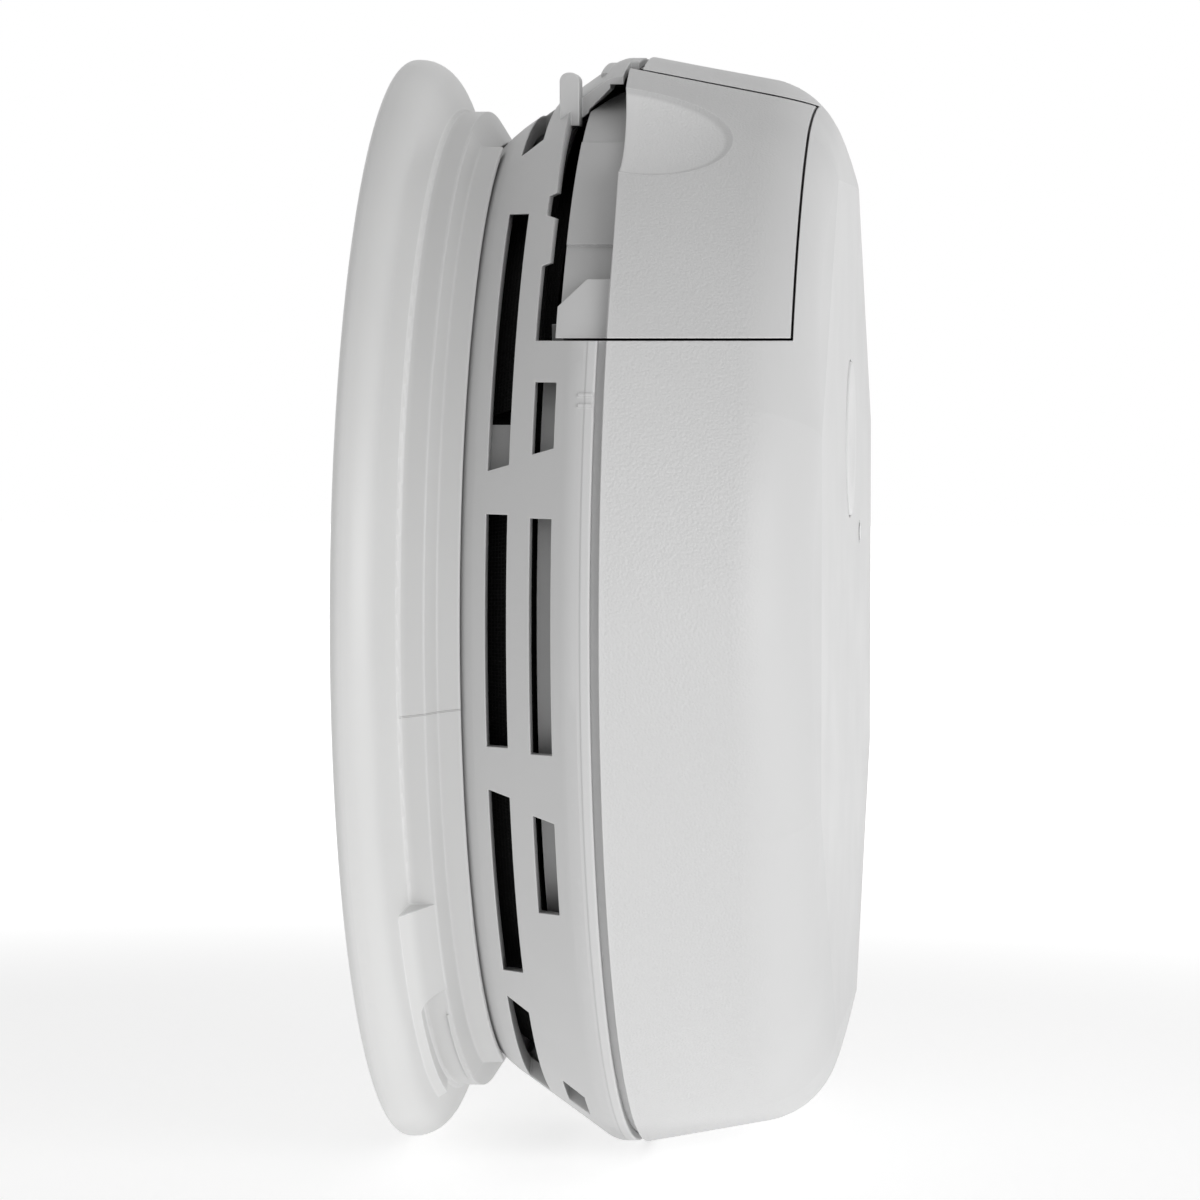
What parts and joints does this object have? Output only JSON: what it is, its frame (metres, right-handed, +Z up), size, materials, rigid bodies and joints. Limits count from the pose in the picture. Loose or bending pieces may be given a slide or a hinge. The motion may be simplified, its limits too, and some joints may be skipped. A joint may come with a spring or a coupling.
{
  "type": "smoke detector",
  "caption": "Round wall or ceiling smoke alarm with a vented base, a slide-out battery drawer and a test button, on a twist-lock mounting bracket.",
  "frame": {"origin": "centre of the mounting bracket's back face, on the wall, at the middle of its screw slots", "axes": "+Y into the wall, -Y out of the face, +Z up the wall, +X to the right seen from the front"},
  "size_m": [0.1424, 0.0578, 0.1424],
  "materials": {
    "bracket_white": "moulded satin",
    "housing_white": "moulded satin",
    "cover_white": "fine grained side, smooth face",
    "drawer_white": "fine grained panel, plain tray",
    "button_white": "smooth gloss",
    "socket_white": "moulded",
    "horn_plastic": "moulded",
    "black_plastic": "moulded matte",
    "screen_mesh": "fine mesh",
    "circuit_board": "solder mask",
    "battery_sleeve": "printed sleeve",
    "plated_steel": "plated",
    "brass": "plain",
    "dark_lens": "clear dark",
    "led_lens": "clear green",
    "clear_plastic": "clear",
    "capacitor_yellow": "moulded",
    "can_sleeve": "shrunk sleeve",
    "varistor_blue": "dipped",
    "resistor_body": "lacquered"
  },
  "bodies": {
    "bracket": {"mounting_bracket": "bracket_white"},
    "alarm": {"base_housing": "housing_white", "front_cover": "cover_white", "contact_holder": "black_plastic", "battery_contacts": "plated_steel", "circuit_board": "circuit_board", "board_screws": "plated_steel", "mains_socket": "socket_white", "mains_pins": "brass", "sensing_chamber": "black_plastic", "chamber_cap": "black_plastic", "infrared_led": "dark_lens", "photodiode": "dark_lens", "insect_screen": "screen_mesh", "horn_housing": "horn_plastic", "piezo_disc": "brass", "button_spring": "plated_steel", "test_switch": "black_plastic", "indicator_led": "led_lens", "light_pipe": "clear_plastic", "power_capacitor": "capacitor_yellow", "smoothing_capacitor": "can_sleeve", "surge_varistor": "varistor_blue", "controller_chip": "black_plastic", "resistors": "resistor_body"},
    "drawer": {"battery_drawer": "drawer_white", "battery": "battery_sleeve", "battery_terminals": "plated_steel"},
    "button": {"test_button": "button_white", "switch_plunger": "button_white"}
  },
  "joints": [
    {"name": "twist_lock", "type": "hinge", "parent": "bracket", "child": "alarm", "pos_m": [0, 0, 0], "axis": [0, -1, 0], "range_deg": [0, 12]},
    {"name": "drawer_slide", "type": "slide", "parent": "alarm", "child": "drawer", "axis": [-1, 0, 0], "range_m": [0, 0.044]},
    {"name": "button_press", "type": "slide", "parent": "alarm", "child": "button", "axis": [0, 1, 0], "range_m": [0, 0.0012], "stiffness_N_per_m": 400, "deforming": ["button_spring"]}
  ]
}
